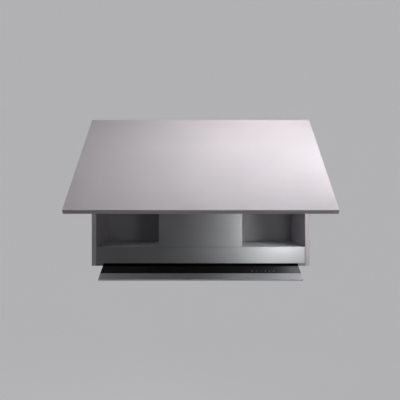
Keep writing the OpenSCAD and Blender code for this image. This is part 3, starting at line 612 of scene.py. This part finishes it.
def grid_faces(rows: int, columns: int, first: int = 0, wrap: bool = True) -> np.ndarray:
    """Quads between neighbouring rows and columns of a grid of points.

    Args:
        rows: number of rows.
        columns: number of points in a row.
        first: number of the grid's first point.
        wrap: whether the last column joins the first.

    Returns:
        (m, 4) corner numbers.
    """
    across = columns if wrap else columns - 1
    i, j = np.meshgrid(np.arange(rows - 1), np.arange(across), indexing="ij")
    k = (j + 1) % columns
    quads = np.stack([i * columns + j, i * columns + k, (i + 1) * columns + k,
                      (i + 1) * columns + j], axis=-1)
    return quads.reshape(-1, 4) + first


def rounded(corners: list[tuple[float, float]], radii: list[float], steps: int = 5) -> np.ndarray:
    """A closed outline whose corners are arcs.

    Each arc runs from one edge to the next: its points are the quadratic blend of the two
    tangent points and the corner, which is close to a circle for such small radii.

    Args:
        corners: the outline's corners in order.
        radii: the length cut off each corner.
        steps: points on each arc.

    Returns:
        (n, 2) points.
    """
    c = np.array(corners, float)
    back = np.roll(c, 1, axis=0) - c
    ahead = np.roll(c, -1, axis=0) - c
    r = np.array(radii, float)[:, None]
    start = c + back / np.linalg.norm(back, axis=1, keepdims=True) * r
    end = c + ahead / np.linalg.norm(ahead, axis=1, keepdims=True) * r
    t = np.linspace(0.0, 1.0, steps)[None, :, None]
    arcs = (1 - t) ** 2 * start[:, None] + 2 * t * (1 - t) * c[:, None] + t**2 * end[:, None]
    return arcs.reshape(-1, 2)


def bar_along_x(
    name: str, outline: np.ndarray, x: tuple[float, float], finish: Finish
) -> Object:
    """A closed outline in Y and Z carried straight along X, with flat ends.

    Args:
        name: the piece's name.
        outline: (n, 2) points in metres.
        x: where the bar starts and ends.
        finish: what it is made of.

    Returns:
        The new object.
    """
    n = len(outline)
    rows = [np.column_stack([np.full(n, v), outline]) for v in x]
    faces = grid_faces(2, n).tolist() + [list(range(n)), list(range(2 * n - 1, n - 1, -1))]
    return mesh_piece(name, np.vstack(rows), faces, finish)


def turned(
    profile: list[tuple[float, float]], segments: int = 32
) -> tuple[np.ndarray, np.ndarray]:
    """A profile of radius and height turned about Z: x = r cos a, y = r sin a, z = h.

    Args:
        profile: radius and height pairs from the lower pole to the upper one.
        segments: points around.

    Returns:
        Points and faces.
    """
    p = np.array(profile, float)
    a = np.linspace(0.0, 2 * math.pi, segments, endpoint=False)
    r, h = p[:, 0, None], p[:, 1, None]
    points = np.stack([r * np.cos(a), r * np.sin(a), h + 0 * a], axis=-1).reshape(-1, 3)
    return points, grid_faces(len(p), segments)


def ribbed(
    profile: list[tuple[float, float]], rows: slice, ribs: int, share: float
) -> tuple[np.ndarray, np.ndarray]:
    """A turned profile with grip ribs on some of its rows.

    On these rows the radius is r * (1 - share * (1 + cos(ribs * a)) / 2), so that it stays r on
    the crests and falls by the share in the valleys; the other rows keep r.

    Args:
        profile: radius and height pairs; the last may repeat the first to close a ring.
        rows: the rows that carry ribs.
        ribs: how many there are around.
        share: the depth of a valley as a part of the radius.

    Returns:
        Points and faces.
    """
    points_per_rib = 6
    around = ribs * points_per_rib
    points, faces = turned(profile, around)
    grid = points.reshape(len(profile), around, 3)
    a = np.linspace(0.0, 2 * math.pi, around, endpoint=False)
    grid[rows, :, :2] *= (1.0 - share * (1.0 + np.cos(ribs * a)) / 2)[None, :, None]
    return grid.reshape(-1, 3), faces


def cross_head(radius: float, height: float, recess: float) -> tuple[np.ndarray, np.ndarray]:
    """A screw head with a cross recess, seen along Z.

    Height over the disc is height * (1 - fall * (r / R)^4), less a soft cross: the recess times
    the larger of two bars' profiles, exp(-(distance / arm)^4), faded out at the reach.

    Args:
        radius: the head's radius R.
        height: its height in the middle.
        recess: the depth of the cross.

    Returns:
        Points and faces of the closed head.
    """
    rings, around = 12, 48
    fall, arm, reach, steepness = 0.7, 0.13, 0.6, 40.0
    r = np.linspace(0.0, 1.0, rings)[:, None]
    a = np.linspace(0.0, 2 * math.pi, around, endpoint=False)[None, :]
    x, y = r * np.cos(a), r * np.sin(a)
    bar = np.maximum(np.exp(-((x / arm) ** 4)), np.exp(-((y / arm) ** 4)))
    fade = 1.0 / (1.0 + np.exp((r - reach) * steepness))
    z = height * (1.0 - r**4 * fall) - recess * bar * fade
    top = np.stack([x * radius, y * radius, z], axis=-1).reshape(-1, 3)
    low = np.stack([x[-1] * radius, y[-1] * radius, 0 * x[-1]], axis=-1)
    pole = np.zeros((1, 3))
    points = np.vstack([top, low, pole])
    rim = grid_faces(2, around, first=(rings - 1) * around)
    hub = rings * around + around
    j = np.arange(around)
    base = np.stack([j + rings * around, (j + 1) % around + rings * around, 0 * j + hub], axis=-1)
    faces = grid_faces(rings, around).tolist() + rim.tolist() + base.tolist()
    return points, faces


def placed(points: np.ndarray, matrix: Matrix) -> np.ndarray:
    """Points carried by a matrix, as whole arrays."""
    m = np.array(matrix)
    return points @ m[:3, :3].T + m[:3, 3]


def joined(parts: list[tuple[np.ndarray, list]]) -> tuple[np.ndarray, list]:
    """Several sets of points and faces as one."""
    points = np.vstack([p for p, _ in parts])
    starts = np.cumsum([0] + [len(p) for p, _ in parts])
    faces = [[int(v) + int(s) for v in f] for (_, fs), s in zip(parts, starts) for f in fs]
    return points, faces


@dataclass
class Assembly:
    """What every sub-assembly shares: the loaded frame and the names of its own nodes.

    Args:
        nodes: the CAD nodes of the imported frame.
        slots: the material slot of each node.
    """

    nodes: dict[str, Object]
    slots: dict[str, str]

    def members(self) -> tuple[str, ...]:
        """Names of the CAD nodes that belong to this sub-assembly."""
        return ()

    def finish_of(self, node: str) -> Finish:
        """The finish a node gets; a sub-assembly may override it for its own pieces."""
        return SLOT_FINISH[self.slots[node]]

    def dress(self) -> None:
        """Gives every CAD node of the sub-assembly its finish."""
        for name in self.members():
            target = self.nodes[name]
            target.data.materials.clear()
            target.data.materials.append(self.finish_of(name).build())
            LOG.info("node %s: %s", name, self.finish_of(name).name)

    def build(self) -> None:
        """Adds the sub-assembly's own pieces; the plain one has none."""

    def soften(self, name: str, width_mm: float) -> None:
        """Rounds a CAD node's edges as its real piece has them.

        Args:
            name: the node.
            width_mm: how far the rounding reaches from the edge.
        """
        target = self.nodes[name]
        weld = target.modifiers.new("merge_corners", "WELD")
        weld.merge_threshold = WELD_DISTANCE
        bevel = target.modifiers.new("eased_edges", "BEVEL")
        bevel.width = width_mm * MM
        bevel.segments = BEVEL_SEGMENTS
        bevel.limit_method = "ANGLE"
        bevel.angle_limit = BEVEL_ANGLE
        bevel.use_clamp_overlap = True
        flat = target.modifiers.new("flat_faces", "WEIGHTED_NORMAL")
        flat.weight = FLAT_WEIGHT

    def run(self) -> None:
        """Dresses the nodes, builds the pieces and reports both."""
        self.dress()
        self.build()
        LOG.info("%s: %d nodes dressed", type(self).__name__, len(self.members()))


@dataclass
class HousingUnit(Assembly):
    """The wall unit: boards, rail, hangers, screws, hinge arms and strut brackets.

    Args:
        edge_mm: how far a board's edge is eased.
        head_mm: the radius of a screw's head.
        head_high_mm: how far the head stands out.
        recess_mm: the depth of its cross.
        shank_mm: radius and depth pairs of the shank, from its tip to the head.
    """

    edge_mm: float = 0.7
    head_mm: float = 5.0
    head_high_mm: float = 3.0
    recess_mm: float = 1.6
    shank_mm: tuple[tuple[float, float], ...] = (
        (0.0, -50.0), (2.2, -48.0), (2.5, -44.0), (2.5, -1.0), (0.0, -1.0)
    )

    def members(self) -> tuple[str, ...]:
        """Names of the CAD nodes that belong to this sub-assembly."""
        return ("side_panel_left", "side_panel_right", "top_panel", "back_panel", "wall_rail",
                "wall_hangers", "panel_screws", "hinge_arms", "strut_brackets")

    def build(self) -> None:
        """Eases the boards' edges and gives the four panel screws their cross heads."""
        for name in ("side_panel_left", "side_panel_right", "top_panel"):
            self.soften(name, self.edge_mm)
        low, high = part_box("panel_screws")
        radius, raised = self.head_mm * MM, self.head_high_mm * MM
        shank = turned([(r * MM, h * MM) for r, h in self.shank_mm])
        head = cross_head(radius, raised, self.recess_mm * MM)
        parts = []
        for side in (-1, 1):
            for y in (low.y + radius, high.y - radius):
                seat = Matrix.Translation((side * (high.x - raised), y, (low.z + high.z) / 2))
                turn = seat @ Matrix.Rotation(side * math.pi / 2, 4, "Y")
                parts += [(placed(p, turn), f) for p, f in (shank, head)]
        screws = mesh_piece("cross_head_screws", *joined(parts), SCREW)
        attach(screws, "housing")
        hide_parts("panel_screws")


@dataclass
class Flap(Assembly):
    """The lift-up flap with its hinge boxes, pins, studs and bumpers.

    Args:
        edge_mm: how far the flap's edge is eased.
    """

    edge_mm: float = 0.9

    def members(self) -> tuple[str, ...]:
        """Names of the CAD nodes that belong to this sub-assembly."""
        return ("flap_panel", "hinge_boxes", "hinge_pins", "flap_studs", "flap_bumpers")

    def build(self) -> None:
        """Eases the flap's lacquered edges."""
        self.soften("flap_panel", self.edge_mm)


@dataclass
class GasStruts(Assembly):
    """The two gas struts: black tubes and chromed rods."""

    def members(self) -> tuple[str, ...]:
        """Names of the CAD nodes that belong to this sub-assembly."""
        return ("strut_cylinder_left", "strut_cylinder_right", "strut_rod_left",
                "strut_rod_right")


@dataclass
class HoodBody(Assembly):
    """The low wide body: casing, front, ledge, cheeks, intake frame and lamp.

    Args:
        fold_mm: how far a folded edge of the sheet is rounded.
        top_finish: the finish of the ledge, whose colour is painted lighter than the front steel
            as a painted highlight.
    """

    fold_mm: float = 0.45
    top_finish: Finish = field(default=STEEL_TOP_PAINTED_HIGHLIGHT)

    def members(self) -> tuple[str, ...]:
        """Names of the CAD nodes that belong to this sub-assembly."""
        return ("canopy_casing", "fascia", "front_top_cover", "rear_top_cover", "cheek_left",
                "cheek_right", "visor_deck", "intake_frame", "light_housing", "light_lens",
                "hood_screws")

    def finish_of(self, node: str) -> Finish:
        """The ledge has the top finish with its painted highlight, the rest that of its slot."""
        if node in ("front_top_cover", "rear_top_cover"):
            return self.top_finish
        return super().finish_of(node)

    def build(self) -> None:
        """Rounds the folds of the front sheets."""
        for name in ("fascia", "front_top_cover", "rear_top_cover"):
            self.soften(name, self.fold_mm)


@dataclass
class GreaseFilters(Assembly):
    """Two baffle filters that hang on pins under the body."""

    def members(self) -> tuple[str, ...]:
        """Names of the CAD nodes that belong to this sub-assembly."""
        return ("filter_frame_left", "filter_frame_right", "filter_baffles_left",
                "filter_baffles_right")


@dataclass
class Tower(Assembly):
    """The tower's sheets and everything that hides in it.

    Args:
        fold_mm: how far a folded edge of the sheet is rounded.
    """

    fold_mm: float = 0.5

    def members(self) -> tuple[str, ...]:
        """Names of the CAD nodes that belong to this sub-assembly."""
        return ("tower_shell", "tower_front", "scroll_left", "scroll_right", "motor",
                "motor_bracket", "motor_mounts", "motor_shaft", "impeller", "capacitor")

    def finish_of(self, node: str) -> Finish:
        """The shell is brushed like the front."""
        return STEEL if node == "tower_shell" else super().finish_of(node)

    def build(self) -> None:
        """Rounds the folds of the sheets that show."""
        for name in ("tower_shell", "tower_front"):
            self.soften(name, self.fold_mm)


@dataclass
class Outlet(Assembly):
    """The duct collar with its two damper leaves."""

    def members(self) -> tuple[str, ...]:
        """Names of the CAD nodes that belong to this sub-assembly."""
        return ("outlet_spigot", "damper_leaf_front", "damper_leaf_rear")


@dataclass
class Electrics(Assembly):
    """The control box on the tower with its board, terminals and gland.

    Args:
        box_edge_mm: how far the box's edge is eased.
        bore_mm: the radius of the gland's bore.
        neck_mm: the height of its neck below the cover's face.
        neck_radius_mm: the neck's radius.
        nut_mm: the nut's radius on the crests of its ribs.
        ease_mm: the rounding of the nut's edges; its dome is a few of them high.
        ribs: how many ribs the nut has around.
        rib_share: the depth of a valley as a part of the radius.
    """

    box_edge_mm: float = 0.6
    bore_mm: float = 4.0
    neck_mm: float = 9.0
    neck_radius_mm: float = 6.0
    nut_mm: float = 9.0
    ease_mm: float = 0.6
    ribs: int = 14
    rib_share: float = 0.09

    def members(self) -> tuple[str, ...]:
        """Names of the CAD nodes that belong to this sub-assembly."""
        return ("control_box", "control_cover", "control_board", "terminal_block",
                "cable_gland")

    def gland(self) -> Object:
        """The cable gland: a neck through the cover and a domed nut with grip ribs."""
        low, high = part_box("cable_gland")
        centre = (low + high) / 2
        seat = low.z + self.neck_mm * MM
        bore, neck, nut = (r * MM for r in (self.bore_mm, self.neck_radius_mm, self.nut_mm))
        ease = self.ease_mm * MM
        stem = [(bore, low.z), (neck, low.z), (neck, seat)]
        grip = [(nut - ease, seat), (nut, seat + ease), (nut, high.z - 5 * ease),
                (nut - ease, high.z - 2 * ease)]
        dome = [(nut - 3 * ease, high.z - 0.5 * ease), (bore + 2 * ease, high.z),
                (bore + ease, high.z), (bore, high.z - ease), (bore, low.z)]
        rows = slice(len(stem), len(stem) + len(grip))
        points, faces = ribbed(stem + grip + dome, rows, self.ribs, self.rib_share)
        place = Matrix.Translation((centre.x, centre.y, 0.0))
        made = mesh_piece("gland_nut", placed(points, place), faces, GLAND)
        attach(made, "housing")
        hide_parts("cable_gland")
        return made

    def build(self) -> None:
        """Eases the moulded box and turns the gland."""
        self.soften("control_box", self.box_edge_mm)
        self.gland()


@dataclass
class Visor(Assembly):
    """The pull-out visor: tray, black glass, front bar, touch field and runners.

    Args:
        tilt: the slope of the glass.
        lift: the height of the glass plane at the unit's front.
        bar_rear_mm: where the front bar starts on the slope.
        bar_long_mm: its length down the slope.
        bar_drop_mm: how far its face falls below the glass plane at the nose.
        bar_thick_mm: its thickness.
        bar_half: half its width.
        nose_mm: the height of the nose, and the length of the slant under it.
        groove_mm: the groove's distance from the nose, its width and its depth.
        glass_edge_mm: how far the glass's edge is eased.
    """

    tilt: float = math.radians(21.0)
    lift: float = 0.003
    bar_rear_mm: float = -68.8
    bar_long_mm: float = 44.94
    bar_drop_mm: float = 2.355
    bar_thick_mm: float = 12.0
    bar_half: float = 0.403
    nose_mm: tuple[float, float] = (4.0, 5.0)
    groove_mm: tuple[float, float, float] = (3.2, 0.8, 0.5)
    glass_edge_mm: float = 0.4

    def members(self) -> tuple[str, ...]:
        """Names of the CAD nodes that belong to this sub-assembly."""
        return ("visor_tray", "visor_glass", "visor_strip", "touch_board", "touch_marks",
                "runner_outers", "runner_middle_left", "runner_middle_right", "runner_inners")

    def on_slope(self, outline: np.ndarray) -> np.ndarray:
        """Turns an outline from the glass's own Y and Z, in millimetres, into the frame's."""
        c, s = math.cos(self.tilt), math.sin(self.tilt)
        y, z = outline[:, 0] * MM, outline[:, 1] * MM
        return np.column_stack([UNIT_FRONT + y * c - z * s, self.lift + y * s + z * c])

    def front_bar(self) -> Object:
        """The extruded bar: a flat face, an eased nose, a lip and a fine groove behind it."""
        rear, thick = self.bar_rear_mm, self.bar_thick_mm
        far = rear - self.bar_long_mm
        drop = self.bar_drop_mm
        slope = drop / self.bar_long_mm
        inset, wide, deep = self.groove_mm
        groove = far + inset
        nose_high, slant = self.nose_mm
        corners_and_cuts = [
            ((rear, 0.0), 0.35),
            ((groove + wide, -(rear - groove - wide) * slope), 0.1),
            ((groove + deep, -(rear - groove) * slope - deep), 0.1),
            ((groove, -(rear - groove) * slope), 0.1),
            ((far, -drop), 0.5),
            ((far - 0.6, -drop - 1.0), 0.4),
            ((far, nose_high - thick), 1.2),
            ((far + slant, -thick), 0.8),
            ((rear, -thick), 0.4),
        ]
        corners_mm, cuts_mm = zip(*corners_and_cuts)
        outline = self.on_slope(rounded(list(corners_mm), list(cuts_mm)))
        bar = bar_along_x("visor_front_bar", outline, (-self.bar_half, self.bar_half), STRIP)
        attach(bar, "visor")
        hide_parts("visor_strip")
        return bar

    def build(self) -> None:
        """Makes the front bar and eases the glass."""
        self.front_bar()
        self.soften("visor_glass", self.glass_edge_mm)


@dataclass(frozen=True)
class Lamp:
    """One soft box.

    Args:
        name: the lamp's name.
        place: where it stands.
        target: where it points.
        size: its width and height in metres.
        power: watts.
        opening: the opening angle of its grid in degrees.
    """

    name: str
    place: tuple[float, float, float]
    target: tuple[float, float, float]
    size: tuple[float, float]
    power: float
    opening: float = 180.0

    def build(self) -> None:
        """Hangs the soft box, unseen by the camera."""
        data = bpy.data.lights.new(self.name, "AREA")
        data.spread = math.radians(self.opening)
        data.shape = "RECTANGLE"
        data.size, data.size_y = self.size
        data.energy = self.power
        made = bpy.data.objects.new(self.name, data)
        aim = np.array(self.target) - np.array(self.place)
        made.location = self.place
        made.visible_camera = False
        made.rotation_mode = "QUATERNION"
        made.rotation_quaternion = Vector(aim).to_track_quat("-Z", "Y")
        bpy.context.scene.collection.objects.link(made)


# Most light comes from the upper right, as the flap's bright right end and the dark left end of
# the steel show. The lamp behind is for views from the back only.
LAMPS = (
    Lamp("key", (1.30, -0.90, 1.50), (0.30, -0.50, 0.45), (0.5, 0.5), 1.2, 50.0),
    Lamp("upper", (0.70, -1.10, 1.75), (0.15, -0.50, 0.45), (0.6, 0.6), 2.4, 60.0),
    Lamp("side", (1.46, -1.25, 0.86), (0.1, -0.4, 0.2), (0.4, 0.4), 1.5),
    Lamp("nook", (1.00, -1.35, 0.72), (0.3, -0.2, 0.08), (0.25, 0.25), 0.16, 30.0),
    Lamp("panel", (0.60, -2.20, 0.06), (0.2, -0.34, 0.1), (0.3, 0.42), 2.3),
    Lamp("left", (-1.60, -1.50, 1.20), (0.0, -0.4, 0.3), (0.6, 0.6), 4.5),
    Lamp("rear", (-1.8, 2.6, 1.6), (0.0, -0.2, 0.3), (1.2, 1.2), 6.0, 70.0),
)


@dataclass
class Studio:
    """Camera, lamps, floor and backdrop, at the photograph's viewing angle.

    Args:
        lens: the focal length in millimetres.
        sensor: the width of the film in millimetres.
        eye: where the camera stands.
        floor_z: the height of the floor.
        wall_top: the height of the backdrop's upper edge, above what views from below see.
        leg_y: where the backdrop's two straight sides end in front.
        half_width: the reach of the backdrop from the middle.
        bend: the radius between floor and wall.
        world_colour: the colour of the even light from all around.
        world_strength: its strength.
        paper: the finish of floor and backdrop.
    """

    lens: float = 47.25
    sensor: float = 36.0
    eye: tuple[float, float, float] = (-0.0025, -2.510, 0.2722)
    floor_z: float = -1.45
    wall_top: float = 12.0
    leg_y: float = -4.0
    half_width: float = 4.6
    bend: float = 1.2
    world_colour: str = "#f4f4f6"
    world_strength: float = 0.05
    paper: Finish = field(default=Paper("seamless_paper", "#c9c9cb", "#c5c5c7", 0.9,
                                        grain_mm=8.0, depth_mm=0.1, cloud_mm=900.0))

    def camera(self) -> None:
        """Sets up the level camera in front of the unit."""
        data = bpy.data.cameras.new("camera")
        data.lens = self.lens
        data.sensor_width = self.sensor
        made = bpy.data.objects.new("camera", data)
        made.location = self.eye
        made.rotation_euler = (math.pi / 2, 0.0, 0.0)
        bpy.context.scene.collection.objects.link(made)
        bpy.context.scene.camera = made

    def sweep(self) -> None:
        """Floor and backdrop as one sheet round the sides and the back of the object.

        In plan it is a straight leg, a half circle of radius R and a straight leg, all at the
        distance q R from the middle. Its section is a floor line, a quarter circle and a wall
        line, so that each section point has its share q of the reach and its height.
        """
        bend_points, turn_points = 16, 40
        a = np.linspace(0.0, math.pi / 2, bend_points)
        reach = self.half_width - self.bend + self.bend * np.sin(a)
        height = self.floor_z + self.bend - self.bend * np.cos(a)
        q = np.concatenate([[0.0], reach, [self.half_width]])[None, :]
        z = np.concatenate([[self.floor_z], height, [self.wall_top]])[None, :]
        t = np.linspace(0.0, math.pi, turn_points)
        side = np.concatenate([[1.0], np.cos(t), [-1.0]])[:, None]
        deep = np.concatenate([[0.0], np.sin(t), [0.0]])[:, None]
        leg = np.concatenate([[self.leg_y], np.zeros(turn_points), [self.leg_y]])[:, None]
        points = np.stack([side * q, leg + deep * q, z + 0 * side], axis=-1)
        faces = grid_faces(len(side), q.shape[1], wrap=False)
        mesh_piece("studio_sweep", points, faces, self.paper)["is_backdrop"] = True

    def world(self) -> None:
        """Even light from all around."""
        made = bpy.data.worlds.new("studio")
        bpy.context.scene.world = made
        made.use_nodes = True
        back = made.node_tree.nodes["Background"]
        back.inputs["Color"].default_value = linear(self.world_colour)
        back.inputs["Strength"].default_value = self.world_strength

    def build(self) -> None:
        """Sets up everything around the object."""
        self.camera()
        self.sweep()
        for lamp in LAMPS:
            lamp.build()
        self.world()
        bpy.context.scene.view_settings.view_transform = "Standard"
        LOG.info("Studio: camera, sweep and lamps")


def corners() -> list[list[float]]:
    """The shown object's lowest and highest corner as plain numbers."""
    return [list(map(float, corner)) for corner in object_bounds()]


def main() -> None:
    """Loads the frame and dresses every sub-assembly."""
    logging.basicConfig(level=logging.INFO, format="%(message)s")
    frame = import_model()
    slots = {s["node"]: s["material_slot"] for s in frame["record"]["subparts"]}
    kinds = (HousingUnit, Flap, GasStruts, HoodBody, GreaseFilters, Tower, Outlet, Electrics,
             Visor)
    for kind in kinds:
        kind(frame["nodes"], slots).run()
    Studio().build()


if __name__ == "__main__":
    main()
